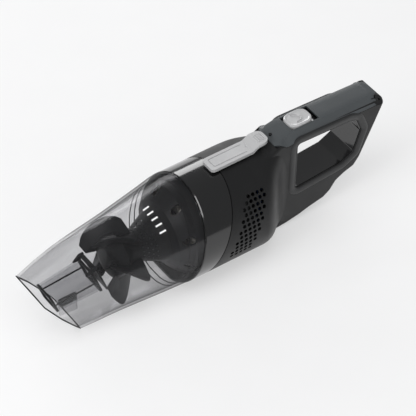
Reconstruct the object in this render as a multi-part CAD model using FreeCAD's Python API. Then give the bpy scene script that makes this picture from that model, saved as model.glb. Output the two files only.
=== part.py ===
import FreeCAD, Part
import os
from math import cos, sin, tan, pi, radians, degrees, atan
from FreeCAD import Vector

# Handheld vacuum. Millimetres. +X runs from the nozzle to the handle, +Z is up, the barrel lies along X.
# Everything is drawn about the barrel's axis, then moved so that the origin is the bottom centre of the
# whole vacuum's box.

# ---- driving dimensions ----
barrel_r = 48.0            # outer radius of the barrel
wall = 2.4                 # moulded wall of the body shells
underside_z = -46.0        # flat strip that the vacuum rests on
nose_x = -148.0            # front of the nozzle's top lip
nose_half_w = 25.0         # half width of the nozzle
nose_top_z = 5.0           # nozzle's top lip
nose_bottom_z = -40.5      # nozzle's bottom lip
nose_mid_z = -12.0         # height at which the nozzle is widest
mouth_slope = 0.74         # how far the mouth runs back for each mm down
cup_wall = 2.2             # clear cup's wall
cup_seam_x = -5.0          # joint between clear cup and collar, on the axis
cup_seam_slope = 0.26
body_seam_x = 18.0         # joint between collar and body, on the axis
body_seam_slope = 0.47
seam_gap = 0.3             # running gap between parts that come apart
inner_fit = 0.25           # between inner parts and the shells that hold them
web_fit = 0.06             # between welded webs and the wall they stand on
spigot_length = 6.0        # cup rim that reaches into the collar
spigot_wall = 2.0
spigot_fit = 0.1

duct_half_w = 11.1         # inlet duct, outside
duct_wall = 1.4
duct_front_x = -135.5      # top of the duct's front edge
duct_rear_x = -92.5
duct_front_top = -2.2
duct_rear_top = 5.2
duct_bottom = -21.8
duct_slope = 0.33          # lean of the duct's front and rear edges
flap_thickness = 1.6
flap_gap = 0.45            # between the shut flap and the pin's centre plane
flap_pin_r = 1.0
pin_clearance = 0.05       # radial running clearance of every pivot

hub_front_x = -74.0        # separator's hub
hub_front_r = 15.5
hub_r = 13.0
cone_start_x = -46.0
cone_end_x = -22.0
cone_end_r = 24.0
cage_rim_x = -7.0
cage_rim_r = 42.0
separator_rear_x = 12.2
separator_wall = 1.6
filter_seal_thickness = 3.0
blade_count = 5
blade_thickness = 1.5
blade_front_x = -98.0
blade_rear_x = -54.0
blade_clearance = 1.0      # between blade tips and the cup
blade_twist = 70.0
window_count = 8
pleat_count = 30
filter_outer_r = 37.0
filter_inner_r = 27.0

cover_gap = 1.2            # room for the cover's seal inside the shells
cover_r = barrel_r - wall - cover_gap   # motor cover that reaches into the collar
cover_front_x = 15.5
cover_rear_x = 44.0
cover_wall = 2.0
impeller_r = 33.0
impeller_x = 21.9
impeller_width = 9.0
impeller_blades = 9
shroud_r = 38.0
shroud_front_x = 18.2
shroud_rear_x = 34.9
eye_r = 15.0
motor_r = 21.0
motor_front_x = 34.9
motor_rear_x = 67.0
shaft_r = 1.6
armature_r = 12.5
magnet_inner_r = 14.0
bearing_r = 5.0
bearing_width = 3.5

cell_r = 9.1               # 18650 cells
cell_length = 65.0
cell_bottom_z = -38.0
tray_half_w = 19.4 - wall  # the tray and the shell's wall share this width
cell_row_x = 81.2

handle_half_w = 17.0
handle_round = 4.0
neck_start_x = 62.0        # barrel begins to narrow into the handle
neck_end_x = 106.0
panel_half_w = 15.3
panel_thickness = 2.2
panel_front_x = 94.0
liner_thickness = 1.3

latch_half_w = 8.5
latch_front_x = 31.5
latch_step_x = 74.0
latch_pad_x = 80.5
latch_rear_x = 92.0
latch_low_z = 53.0
latch_high_z = 57.0
latch_thickness = 3.0
latch_pivot_x = 60.0
latch_pivot_z = 42.6
latch_pin_r = 1.5
slider_x = 127.0           # centre of the power slider
slider_half_l = 12.0
slider_half_w = 9.0
slider_travel = 4.0
slider_height = 2.6

jack_r = 4.9                # charging jack
jack_bore_r = 2.9
jack_z = 8.0
jack_rear_x = 192.4
jack_length = 9.5

vent_rows = 12
vent_columns = 5
vent_pitch = 4.7
vent_hole_r = 1.75
screw_r = 1.6
screw_head_r = 2.9
screw_sink = 3.6
screw_blind = 5.0          # screws end this far inside the other side

# side outline of the handle, from the top front, clockwise round the back to the bottom front
handle_outline = [(80.0, 46.5), (88.0, 47.8), (100.0, 54.0), (112.0, 56.6), (132.0, 56.8), (200.0, 55.4),
                  (208.5, 52.6), (210.6, 46.0), (201.5, 26.0), (186.5, -6.0), (180.0, -14.2), (169.5, -17.6),
                  (161.0, -22.0), (154.5, -30.6), (147.0, -35.6), (131.0, -39.0), (120.0, -42.2),
                  (106.0, -44.8), (92.0, -46.0), (80.0, -46.0)]
grip_outline = [(115.2, 45.6), (113.6, -6.6), (165.0, -2.2), (178.0, 4.4), (185.6, 27.0), (180.0, 41.0),
                (172.0, 43.6)]
handle_corner_r = 5.0
grip_corner_r = 4.0

far = 400.0


# ---- helpers ----
def box(x0, x1, y0, y1, z0, z1):
    return Part.makeBox(x1 - x0, y1 - y0, z1 - z0, Vector(x0, y0, z0))


def rod_x(r, x0, x1, y=0.0, z=0.0):
    return Part.makeCylinder(r, x1 - x0, Vector(x0, y, z), Vector(1, 0, 0))


def rod_y(r, y0, y1, x, z):
    return Part.makeCylinder(r, y1 - y0, Vector(x, y0, z), Vector(0, 1, 0))


def rod_z(r, z0, z1, x, y):
    return Part.makeCylinder(r, z1 - z0, Vector(x, y, z0), Vector(0, 0, 1))


def tube_x(r_out, r_in, x0, x1, y=0.0, z=0.0):
    return rod_x(r_out, x0, x1, y, z).cut(rod_x(r_in, x0 - 1, x1 + 1, y, z))


def turned_x(points):
    """A solid turned about the barrel's axis from (x, r) points."""
    outline = [Vector(x, 0, r) for x, r in points]
    face = Part.Face(Part.makePolygon(outline + [outline[0]]))
    return face.revolve(Vector(0, 0, 0), Vector(1, 0, 0), 360)


def side_face(points, y, corner_r=0.0):
    """A face in the XZ plane; its corners are rounded as far as their sides allow."""
    corners = [Vector(x, y, z) for x, z in points]
    if not corner_r:
        return Part.Face(Part.makePolygon(corners + [corners[0]]))
    edges = []
    starts = []
    ends = []
    count = len(corners)
    for i, corner in enumerate(corners):
        to_last = corners[i - 1] - corner
        to_next = corners[(i + 1) % count] - corner
        half = (pi - to_last.getAngle(to_next)) / 2
        reach = min(corner_r * tan(half), 0.45 * to_last.Length, 0.45 * to_next.Length)
        a = corner + to_last.normalize() * reach
        b = corner + to_next.normalize() * reach
        bulge = reach * tan(half / 2)
        inward = (to_last + to_next)
        middle = corner + inward.normalize() * bulge if inward.Length > 0.001 else corner
        starts.append(a)
        ends.append(b)
        if half > 0.02:
            edges.append((Part.Arc(a, middle, b).toShape(), i))
        else:
            edges.append((Part.LineSegment(a, b).toShape(), i))
    ring = []
    for edge, i in edges:
        ring.append(edge)
        ring.append(Part.LineSegment(ends[i], starts[(i + 1) % count]).toShape())
    return Part.Face(Part.Wire(ring))


def side_prism(points, y0, y1, corner_r=0.0):
    return side_face(points, y0, corner_r).extrude(Vector(0, y1 - y0, 0))


def shrink(points, amount):
    """Moves every side of a clockwise or counter-clockwise outline inwards by the same amount."""
    area = sum(points[i - 1][0] * p[1] - p[0] * points[i - 1][1] for i, p in enumerate(points))
    turn = 1 if area > 0 else -1
    moved = []
    count = len(points)
    for i, (x, z) in enumerate(points):
        ax, az = points[i - 1]
        bx, bz = points[(i + 1) % count]
        d0 = Vector(x - ax, 0, z - az).normalize()
        d1 = Vector(bx - x, 0, bz - z).normalize()
        n0 = Vector(-d0.z, 0, d0.x) * turn
        n1 = Vector(-d1.z, 0, d1.x) * turn
        both = n0 + n1
        step = both * (2 * amount / both.Length ** 2)
        moved.append((x + step.x, z + step.z))
    return moved


def ahead_of(x_axis, slope, shift=0.0):
    """Everything on the nozzle's side of a slanted joint plane."""
    x_low = x_axis + shift - slope * far
    x_high = x_axis + shift + slope * far
    return side_prism([(-2 * far, -far), (x_low, -far), (x_high, far), (-2 * far, far)], -far, far)


def behind(x_axis, slope, shift=0.0):
    x_low = x_axis + shift - slope * far
    x_high = x_axis + shift + slope * far
    return side_prism([(2 * far, -far), (x_low, -far), (x_high, far), (2 * far, far)], -far, far)


def signed_power(value, power):
    return abs(value) ** power * (1 if value >= 0 else -1)


def closed_section(x, half_w, top, middle, bottom, n_top, n_bottom, count=28):
    """A smooth closed outline in the plane of one station along the barrel."""
    points = []
    for i in range(count):
        t = 2 * pi * (i + 0.5) / count
        power = 2 / (n_top if sin(t) > 0 else n_bottom)
        height = top - middle if sin(t) > 0 else middle - bottom
        y = half_w * signed_power(cos(t), power)
        points.append(Vector(x, y, middle + height * signed_power(sin(t), power)))
    spline = Part.BSplineCurve()
    spline.interpolate(Points=points, PeriodicFlag=True)
    return Part.Wire(spline.toShape())


def blend(a, b, k):
    return a + (b - a) * k


def straight(section, length):
    return Part.Face(section).extrude(Vector(length, 0, 0))


# ---- clear dust cup ----
def cup_section(x, inset):
    k = min(max(-x / -nose_x, 0.0), 1.1)
    return closed_section(x, blend(barrel_r, nose_half_w, k ** 1.12) - inset,
                          blend(barrel_r, nose_top_z, k) - inset, blend(0, nose_mid_z, k),
                          blend(underside_z - 1.5, nose_bottom_z, k) + inset,
                          blend(2.0, 5.0, k ** 2), blend(2.0, 2.9, k))


def cup_body(inset, front_x, rear_x):
    stations = [front_x + (0 - front_x) * i / 6 for i in range(7)]
    nose = Part.makeLoft([cup_section(x, inset) for x in stations], True, False)
    return nose.fuse(straight(cup_section(0, inset), rear_x))


def flatten(shape):
    return shape.cut(box(-far, far, -far, far, -far, underside_z))


def mouth_cutter():
    x_top = nose_x + mouth_slope * (nose_top_z - far)
    x_bottom = nose_x + mouth_slope * (nose_top_z + far)
    return side_prism([(-2 * far, far), (x_top, far), (x_bottom, -far), (-2 * far, -far)], -far, far)


def make_cup_shell():
    outer = cup_body(0, nose_x - 8, cup_seam_x + 20)
    inner = cup_body(cup_wall, nose_x - 12, cup_seam_x + 30)
    shell = flatten(outer).cut(inner.cut(box(-far, far, -far, far, -far, underside_z + cup_wall)))
    shell = shell.cut(mouth_cutter()).cut(behind(cup_seam_x, cup_seam_slope))
    spigot_r = barrel_r - wall - spigot_fit
    spigot = tube_x(spigot_r, spigot_r - spigot_wall, cup_seam_x - 20, cup_seam_x + 40)
    spigot = spigot.common(ahead_of(cup_seam_x, cup_seam_slope, spigot_length))
    spigot = spigot.common(behind(cup_seam_x, cup_seam_slope, -2.0))
    spigot = spigot.cut(box(-far, far, -far, far, -far, underside_z + wall + spigot_wall / 2))
    return shell.fuse(spigot)


def make_collar():
    ring = flatten(rod_x(barrel_r, -60, 80))
    bore = rod_x(barrel_r - wall, -61, 81).cut(box(-far, far, -far, far, -far, underside_z + wall))
    ring = ring.cut(bore)
    ring = ring.common(behind(cup_seam_x, cup_seam_slope)).common(ahead_of(body_seam_x, body_seam_slope,
                                                                         -seam_gap))
    # catch that the latch's tooth stands in front of
    catch_z = latch_low_z - latch_thickness - 0.4
    catch = box(latch_front_x + 3.6, latch_front_x + 6.4, -latch_half_w + 3, latch_half_w - 3,
                barrel_r - wall / 2, catch_z - 0.9)
    return ring.fuse(catch)


def duct_solid(inset, extend):
    lean = duct_slope
    height_f = duct_front_top - duct_bottom
    height_r = duct_rear_top - duct_bottom
    rise = (duct_rear_top - duct_front_top) / (duct_rear_x - duct_front_x)
    side = [(duct_front_x - extend, duct_front_top - inset - rise * extend),
            (duct_rear_x + extend, duct_rear_top - inset + rise * extend),
            (duct_rear_x + lean * height_r + extend, duct_bottom + inset),
            (duct_front_x + lean * height_f - extend, duct_bottom + inset)]
    return side_prism(side, -duct_half_w + inset, duct_half_w - inset)


flap_pin_x = duct_rear_x + 1.9
flap_pin_z = duct_rear_top + 2.2


def make_inlet_duct():
    duct = duct_solid(0, 0).cut(duct_solid(duct_wall, 3))
    # two ears over the duct's rear edge carry the flap's pin
    for side in (-1, 1):
        y0 = min(side * duct_half_w, side * (duct_half_w - 2.2))
        ear = side_prism([(duct_rear_x - 7, duct_rear_top - 2), (flap_pin_x - 2.4, flap_pin_z + 2.2),
                          (flap_pin_x + 2.0, flap_pin_z + 2.2), (flap_pin_x + 2.0, flap_pin_z - 1.4),
                          (duct_rear_x - 0.2, duct_rear_top - 2.0)], y0, y0 + 2.2)
        duct = duct.fuse(ear)
    # webs hold the duct to the cup's sides and floor
    foot = box(duct_front_x + 14, duct_front_x + 32, -1.2, 1.2, nose_bottom_z - 8, duct_bottom + duct_wall / 2)
    arms = box(duct_front_x + 12, duct_front_x + 34, -60, 60, -13.2, -11.2)
    webs = foot.fuse(arms).cut(duct_solid(duct_wall / 2, 3))
    inside = cup_body(cup_wall + web_fit, nose_x - 8, 10)
    webs = webs.common(inside.cut(box(-far, far, -far, far, -far, underside_z + cup_wall + web_fit)))
    duct = duct.fuse(webs)
    return duct.cut(rod_y(flap_pin_r, -60, 60, flap_pin_x, flap_pin_z))


def make_flap():
    lean = atan(duct_slope)
    drop = (duct_rear_top - duct_bottom) / cos(lean) + 3.0
    half_w = duct_half_w - 3.0
    wide = duct_half_w + 0.6
    leaf = box(flap_gap, flap_gap + flap_thickness, -wide, wide, -drop, -3.4)
    neck = box(flap_gap, flap_gap + flap_thickness, -half_w, half_w, -4.0, 0)
    barrel = rod_y(flap_pin_r + 1.1, -half_w, half_w, 0, 0)
    flap = leaf.fuse(neck).fuse(barrel).cut(rod_y(flap_pin_r + pin_clearance, -60, 60, 0, 0))
    flap.rotate(Vector(0, 0, 0), Vector(0, 1, 0), -degrees(lean))
    flap.translate(Vector(flap_pin_x, 0, flap_pin_z))
    return flap


def make_flap_pin():
    return rod_y(flap_pin_r, -duct_half_w, duct_half_w, flap_pin_x, flap_pin_z)


# ---- separator and filter ----
def make_separator_cone():
    w = separator_wall
    outer = [(hub_front_x, 0.01), (hub_front_x, hub_front_r - 6), (hub_front_x + 2, hub_front_r - 2.2),
             (hub_front_x + 6, hub_front_r), (blade_rear_x, hub_r), (cone_start_x, hub_r),
             (cone_end_x, cone_end_r), (cone_end_x, cone_end_r - w * 1.6),
             (cone_start_x, hub_r - w), (blade_rear_x, hub_r - w), (hub_front_x + 6, hub_front_r - w),
             (hub_front_x + 3, hub_front_r - 6), (hub_front_x + w, 0.01)]
    cone = turned_x(outer)
    holes = []
    for row in range(4):
        x = cone_start_x + 4.5 + row * 4.5
        for i in range(16):
            turn = 2 * pi * (i + 0.5 * (row % 2)) / 16
            holes.append(Part.makeCylinder(0.9, 40, Vector(x, 0, 0), Vector(0, cos(turn), sin(turn))))
    return cone.cut(Part.makeCompound(holes))


def make_filter_cage():
    w = separator_wall
    rim = cage_rim_r
    shell = turned_x([(cone_end_x, cone_end_r), (cone_end_x + 4, cone_end_r + 8), (cage_rim_x - 4, rim - 3),
                      (cage_rim_x, rim), (separator_rear_x, rim), (separator_rear_x, rim - w),
                      (cage_rim_x + 0.6, rim - w), (cage_rim_x - 3, rim - 3 - w),
                      (cone_end_x + 5, cone_end_r + 8 - w), (cone_end_x + w, cone_end_r - w),
                      (cone_end_x, cone_end_r - w)])
    windows = []
    for i in range(window_count):
        turn = 360 * (i + 0.5) / window_count
        window = Part.makeCylinder(3.6, 30, Vector(cone_end_x + 7.0, 0, cone_end_r - 4), Vector(0.25, 0, 1))
        window.rotate(Vector(0, 0, 0), Vector(1, 0, 0), turn)
        windows.append(window)
    return shell.cut(Part.makeCompound(windows))


def make_swirl_blades():
    blades = []
    steps = 5
    for b in range(blade_count):
        wires = []
        for s in range(steps):
            x = blend(blade_front_x, blade_rear_x, s / (steps - 1))
            turn = 90 + 360 * b / blade_count + blade_twist * (s / (steps - 1) - 0.5)
            half = blade_thickness * 1.2
            corners = [(hub_r - 1, -half), (60, -half), (60, half), (hub_r - 1, half)]
            points = []
            for r, w in corners:
                a = radians(turn)
                points.append(Vector(x, r * cos(a) - w * sin(a), r * sin(a) + w * cos(a)))
            wires.append(Part.makePolygon(points + [points[0]]))
        blades.append(Part.makeLoft(wires, True, False))
    sleeve = rod_x(hub_front_r + blade_thickness, hub_front_x + 8, blade_rear_x)
    solid = sleeve
    for blade in blades:
        solid = solid.fuse(blade)
    inside = cup_body(cup_wall + blade_clearance, nose_x - 8, 10)
    inside = inside.cut(box(-far, far, -far, far, -far, underside_z + cup_wall + blade_clearance))
    solid = solid.common(inside)
    # room for the tube, and for the duct with its flap swung open
    solid = solid.cut(rod_x(hub_front_r + 0.02, -far, blade_rear_x + 5))
    return solid.cut(side_prism([(-140, -30), (-140, 14), (-76, 14), (-70, 2), (-66, -30)],
                                -duct_half_w - 3, duct_half_w + 3).cut(rod_x(60, hub_front_x + 8, 0)))


def make_pleated_filter():
    outline = []
    for i in range(2 * pleat_count):
        r = filter_outer_r if i % 2 else filter_inner_r
        turn = pi * i / pleat_count
        outline.append(Vector(cage_rim_x + 2, r * cos(turn), r * sin(turn)))
    face = Part.Face(Part.makePolygon(outline + [outline[0]]))
    star = face.extrude(Vector(separator_rear_x - cage_rim_x - 5, 0, 0))
    return star.cut(rod_x(filter_inner_r - 4, -far, far))


def make_filter_frame():
    x0 = separator_rear_x - 3
    ring = tube_x(cage_rim_r - separator_wall, filter_inner_r - 4, x0, separator_rear_x)
    tab = box(x0, separator_rear_x, -filter_inner_r, filter_inner_r, -2, 2)
    return ring.fuse(tab)


def make_filter_seal():
    return tube_x(cage_rim_r - 0.6, cage_rim_r - 6.0, separator_rear_x,
                  separator_rear_x + filter_seal_thickness)


# ---- body: shells, handle ----
def neck_section(x, inset):
    k = min(max((x - neck_start_x) / (neck_end_x - neck_start_x), 0.0), 1.0)
    s = k * k * (3 - 2 * k)
    top = barrel_r if x < 89 else blend(barrel_r, 54.0, (x - 89) / (neck_end_x - 89))
    return closed_section(x, blend(barrel_r, handle_half_w, s) - inset, top - inset, 0.0,
                          underside_z - 1.8 * (1 - s) + inset, blend(2.0, 4.0, s), blend(2.0, 4.0, s))


def body_solid(inset):
    barrel = straight(neck_section(neck_start_x, inset), -40 - neck_start_x)
    neck_xs = [neck_start_x, 70, 79, 88, 97, neck_end_x - inset]
    neck = Part.makeLoft([neck_section(x, inset) for x in neck_xs], True, False)
    outline = shrink(handle_outline, inset) if inset else handle_outline
    slab = side_prism(outline, -handle_half_w + inset, handle_half_w - inset,
                      max(handle_corner_r - inset, 0.5))
    if not inset:
        rims = [e for e in slab.Edges if abs(e.BoundBox.YMax - e.BoundBox.YMin) < 0.01]
        slab = slab.makeFillet(handle_round, rims)
    solid = barrel.fuse(neck).fuse(slab)
    return solid.cut(box(-far, far, -far, far, -far, underside_z + inset))


def vent_holes():
    holes = []
    for side in (-1, 1):
        for row in range(vent_rows):
            turn = radians(44) - vent_pitch * row / barrel_r
            z = barrel_r * sin(turn)
            first = 1 if row == 0 else 0
            for column in range(first, vent_columns):
                x = body_seam_x + body_seam_slope * z + 12 + vent_pitch * (column + 0.5 * (row % 2))
                start = Vector(x, side * (barrel_r - 6) * cos(turn), (barrel_r - 6) * sin(turn))
                out = Vector(0, side * cos(turn), sin(turn))
                holes.append(Part.makeCylinder(vent_hole_r, 10, start, out))
    return Part.makeCompound(holes)


screw_places = [(114.0, -37.5), (106.0, 38.0), (148.0, -26.0), (192.0, 40.0), (176.0, -8.5)]


def panel_outline(depth):
    top = [p for p in handle_outline if p[0] > panel_front_x and p[1] > 50]
    front = (panel_front_x, 51.3)
    upper = [front] + top[:-1] + [(205.0, 53.8)]
    lower = [(x, z - depth) for x, z in reversed(upper)]
    return upper + lower


def panel_block(depth, grow):
    block = side_prism(panel_outline(depth), -panel_half_w - grow, panel_half_w + grow)
    corner = 9.0
    rounder = box(panel_front_x - grow, 205 + grow, -panel_half_w - grow, panel_half_w + grow, 30, 70)
    rear = [e for e in rounder.Edges if e.BoundBox.ZLength > 30 and e.BoundBox.XMin > 150]
    rounder = rounder.makeFillet(corner, rear)
    return block.common(rounder)


def make_handle_panel():
    panel = panel_block(panel_thickness, 0)
    bevels = []
    for side in (-1, 1):
        cutter = box(-far, far, 0, 20, 0, 20)
        cutter.rotate(Vector(0, 0, 0), Vector(1, 0, 0), -32)
        cutter.translate(Vector(0, panel_half_w - 5.0, 56.9))
        if side < 0:
            cutter = cutter.mirror(Vector(0, 0, 0), Vector(0, 1, 0))
        bevels.append(cutter)
    panel = panel.cut(Part.makeCompound(bevels))
    window = box(slider_x - slider_half_l - 1, slider_x + slider_half_l + slider_travel + 1,
                 -slider_half_w - 0.4, slider_half_w + 0.4, 40, 70)
    return panel.cut(window).cut(rod_z(1.5, 40, 70, 98.0, 0))


def body_shells():
    outer = body_solid(0)
    inner = body_solid(wall).cut(side_prism(shrink(grip_outline, -wall), -60, 60, grip_corner_r))
    shell = outer.cut(inner)
    shell = shell.cut(side_prism(grip_outline, -60, 60, grip_corner_r))
    shell = shell.common(behind(body_seam_x, body_seam_slope))
    shell = shell.cut(panel_block(panel_thickness, 0.05))
    shell = shell.cut(box(panel_front_x + 8, 198, -handle_half_w + wall + 0.2, handle_half_w - wall - 0.2, 50, 60))
    window = box(slider_x - slider_half_l - 1, slider_x + slider_half_l + slider_travel + 1,
                 -slider_half_w - 0.4, slider_half_w + 0.4, 47, 70)
    shell = shell.cut(window).cut(rod_z(1.5, 40, 70, 98.0, 0)).cut(vent_holes())
    # slot for the latch's pivot lug, and screw bosses inside
    shell = shell.cut(box(latch_pivot_x - 6, latch_pivot_x + 6, -4.6, 4.6, 30, 60))
    bosses = []
    for x, z in screw_places:
        bosses.append(rod_y(screw_head_r + 1.2, -handle_half_w + wall - 0.6, handle_half_w - wall + 0.6, x, z))
    shell = shell.fuse(Part.makeCompound(bosses).common(outer))
    for x, z in screw_places:
        shell = shell.cut(rod_y(screw_r, -handle_half_w + screw_blind, 60, x, z))
        shell = shell.cut(rod_y(screw_head_r, handle_half_w - screw_sink, 60, x, z))
    return shell.cut(rod_x(jack_r + 0.05, jack_rear_x - jack_length - 1.0, far, 0, jack_z))


def make_grip_liner():
    outer = side_prism(grip_outline, -handle_half_w + 1.2, handle_half_w - 1.2, grip_corner_r)
    inner = side_prism(shrink(grip_outline, liner_thickness), -60, 60, grip_corner_r - 1)
    return outer.cut(inner)


# ---- body: inside ----
def make_motor_cover():
    cover = rod_x(cover_r, cover_front_x, cover_rear_x)
    cover = cover.fuse(rod_x(barrel_r - wall - inner_fit, cover_rear_x - 2.4, cover_rear_x))
    cover = cover.cut(rod_x(cover_r - cover_wall, cover_front_x + 2.4, cover_rear_x + 1))
    slots = []
    for i in range(12):
        slot = box(-far, far, -1.6, 1.6, 8, 26)
        slot.rotate(Vector(0, 0, 0), Vector(1, 0, 0), 30 * i)
        slots.append(slot.common(rod_x(60, cover_front_x - 5, cover_front_x + 5)))
    cover = cover.cut(Part.makeCompound(slots))
    groove = tube_x(cover_r + 1, cover_r - 1.0, cover_front_x + 3, cover_front_x + 6)
    return flatten_inner(cover.cut(groove))


def flatten_inner(shape):
    return shape.cut(box(-far, far, -far, far, -far, underside_z + wall + inner_fit))


def make_cover_seal():
    return flatten_inner(tube_x(cover_r + 0.6, cover_r - 1.0, cover_front_x + 3, cover_front_x + 6))


def make_fan_shroud():
    shroud = rod_x(shroud_r, shroud_front_x, shroud_rear_x)
    shroud = shroud.cut(rod_x(shroud_r - 1.8, shroud_front_x + 1.8, shroud_rear_x - 2.2))
    shroud = shroud.cut(rod_x(eye_r, shroud_front_x - 1, shroud_front_x + 3))
    shroud = shroud.cut(rod_x(bearing_r + 4, shroud_rear_x - 3, shroud_rear_x + 1))
    outlets = []
    for i in range(10):
        slot = box(shroud_rear_x - 3, shroud_rear_x + 1, -3.5, 3.5, 26, 33)
        slot.rotate(Vector(0, 0, 0), Vector(1, 0, 0), 36 * i)
        outlets.append(slot)
    return shroud.cut(Part.makeCompound(outlets))


def make_impeller():
    x0 = impeller_x
    x1 = impeller_x + impeller_width
    back = rod_x(impeller_r, x1 - 1.5, x1)
    front = tube_x(impeller_r, eye_r, x0, x0 + 1.2)
    hub = rod_x(6.0, x0 - 1, x1)
    fan = back.fuse(front).fuse(hub)
    for i in range(impeller_blades):
        blade = box(x0 + 0.6, x1 - 1, -0.6, 0.6, 9, impeller_r - 0.4)
        blade.rotate(Vector(0, 0, 9), Vector(1, 0, 0), -22)
        blade.rotate(Vector(0, 0, 0), Vector(1, 0, 0), 360 * i / impeller_blades)
        fan = fan.fuse(blade.common(rod_x(impeller_r, x0, x1)))
    return fan.cut(rod_x(shaft_r, -far, far))


def make_motor_can():
    can = rod_x(motor_r, motor_front_x, motor_rear_x)
    can = can.cut(rod_x(motor_r - 1.2, motor_front_x + 1.2, motor_rear_x + 1))
    seat = tube_x(bearing_r + 1.5, bearing_r, motor_front_x, motor_front_x + bearing_width + 1)
    return can.cut(rod_x(bearing_r, -far, far)).fuse(seat)


def make_motor_cap():
    cap = rod_x(motor_r, motor_rear_x, motor_rear_x + 2.0)
    seat = tube_x(bearing_r + 1.5, bearing_r, motor_rear_x - bearing_width, motor_rear_x + 0.5)
    return cap.fuse(seat).cut(rod_x(shaft_r + 0.6, -far, far))


def make_bearings():
    front = tube_x(bearing_r, shaft_r + pin_clearance, motor_front_x + 0.5, motor_front_x + 0.5 + bearing_width)
    rear = tube_x(bearing_r, shaft_r + pin_clearance, motor_rear_x - bearing_width, motor_rear_x)
    return Part.makeCompound([front, rear])


def make_magnets():
    ring = tube_x(motor_r - 1.3, magnet_inner_r, motor_front_x + 6, motor_rear_x - 8)
    gap = box(-far, far, -3.0, 3.0, -60, 60)
    return ring.cut(gap)


def make_armature():
    core = rod_x(armature_r, motor_front_x + 7, motor_rear_x - 9)
    for i in range(5):
        slot = box(-far, far, -1.3, 1.3, 6, 40)
        slot.rotate(Vector(0, 0, 0), Vector(1, 0, 0), 72 * i)
        core = core.cut(slot)
    commutator = rod_x(4.0, motor_rear_x - 9, motor_rear_x - 5)
    return core.fuse(commutator).cut(rod_x(shaft_r, -far, far))


def make_motor_shaft():
    return rod_x(shaft_r, impeller_x - 2, motor_rear_x + 1.5)


def make_motor_mount():
    x0 = 44.5
    ring = tube_x(barrel_r - wall - inner_fit, motor_r, x0, x0 + 5)
    for i in range(6):
        hole = rod_x(8.5, x0 - 1, x0 + 6, 0, 33)
        hole.rotate(Vector(0, 0, 0), Vector(1, 0, 0), 60 * i)
        ring = ring.cut(hole)
    return flatten_inner(ring).cut(latch_well())


def latch_well():
    return box(latch_pivot_x - 8, latch_pivot_x + 8, -9, 9, 34, 60)


def cell_places():
    step = cell_r + 0.4
    return [(cell_row_x, -step), (cell_row_x, step), (cell_row_x + 2 * cell_r * 0.95, 0)]


def make_cells():
    cells = []
    for x, y in cell_places():
        body = rod_z(cell_r, cell_bottom_z, cell_bottom_z + cell_length, x, y)
        tip = rod_z(3.2, cell_bottom_z + cell_length, cell_bottom_z + cell_length + 1.2, x, y)
        cells.append(body.fuse(tip))
    return Part.makeCompound(cells)


def make_cell_holder():
    x_rear = cell_row_x + 2 * cell_r * 0.95
    z0 = cell_bottom_z - 2.0
    tray = box(cell_row_x - 8, cell_row_x + 8, -tray_half_w, tray_half_w, z0, cell_bottom_z)
    tail = box(cell_row_x, x_rear + 8, -9, 9, z0, cell_bottom_z)
    rib = box(cell_row_x - 8, cell_row_x + 10, -6, 6, underside_z + wall + inner_fit, z0)
    return tray.fuse(tail).fuse(rib)


def make_cell_links():
    z0 = cell_bottom_z + cell_length + 1.2
    (xa, ya), (xb, yb), (xc, yc) = cell_places()
    return box(xa - 3, xa + 3, ya - 3, yb + 3, z0, z0 + 0.4).fuse(box(xb, xc + 3, -3, 3, z0, z0 + 0.4))


def make_circuit_board():
    z0 = grip_outline[0][1] + wall - 0.6
    return box(138, 178, -8, 8, z0, z0 + 1.4)


def make_led():
    return rod_z(1.45, 49.5, 54.6, 98.0, 0)


def make_switch():
    housing = box(slider_x - 9, slider_x + 9, -5, 5, 48.0, 51.5)
    slot = box(slider_x - 4, slider_x + 4 + slider_travel, -2, 2, 49.5, 52)
    return housing.cut(slot)


def make_charge_jack():
    bottom = jack_rear_x - jack_length
    jack = tube_x(jack_r, jack_bore_r, bottom, jack_rear_x, 0, jack_z)
    back = rod_x(jack_r, bottom - 1.0, bottom, 0, jack_z)
    pin = rod_x(1.0, bottom, jack_rear_x - 3.0, 0, jack_z)
    return jack.fuse(back).fuse(pin)


def make_screws():
    screws = []
    for x, z in screw_places:
        shank = rod_y(screw_r, -handle_half_w + screw_blind, handle_half_w - screw_sink, x, z)
        head = rod_y(screw_head_r - 0.1, handle_half_w - screw_sink, handle_half_w - screw_sink + 2.0, x, z)
        y_slot = handle_half_w - screw_sink + 0.8
        cross = box(x - 2, x + 2, y_slot, handle_half_w, z - 0.35, z + 0.35)
        cross = cross.fuse(box(x - 0.35, x + 0.35, y_slot, handle_half_w, z - 2, z + 2))
        screws.append(shank.fuse(head).cut(cross))
    return Part.makeCompound(screws)


# ---- latch and power slider ----
def make_latch():
    t = latch_thickness
    plate = side_prism([(latch_front_x, latch_low_z), (latch_step_x, latch_low_z), (latch_pad_x, latch_high_z),
                        (latch_rear_x, latch_high_z), (latch_rear_x, latch_high_z - t),
                        (latch_pad_x + 1, latch_high_z - t), (latch_step_x + 1, latch_low_z - t),
                        (latch_front_x, latch_low_z - t)], -latch_half_w, latch_half_w)
    corners = [e for e in plate.Edges if e.BoundBox.ZLength > 2.5 and e.BoundBox.YLength < 0.01
               and e.BoundBox.XLength < 0.01]
    plate = plate.makeFillet(3.0, corners)
    tooth = box(latch_front_x + 0.8, latch_front_x + 3.2, -latch_half_w + 3, latch_half_w - 3,
                latch_low_z - t - 0.9, latch_low_z - t + 0.5)
    lug = side_prism([(latch_pivot_x - 5, latch_low_z - t + 0.5), (latch_pivot_x - 3, latch_pivot_z - 2),
                      (latch_pivot_x, latch_pivot_z - 3.2), (latch_pivot_x + 3, latch_pivot_z - 2),
                      (latch_pivot_x + 5, latch_low_z - t + 0.5)], -4.0, 4.0)
    latch = plate.fuse(tooth).fuse(lug)
    return latch.cut(rod_y(latch_pin_r + pin_clearance, -60, 60, latch_pivot_x, latch_pivot_z))


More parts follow.
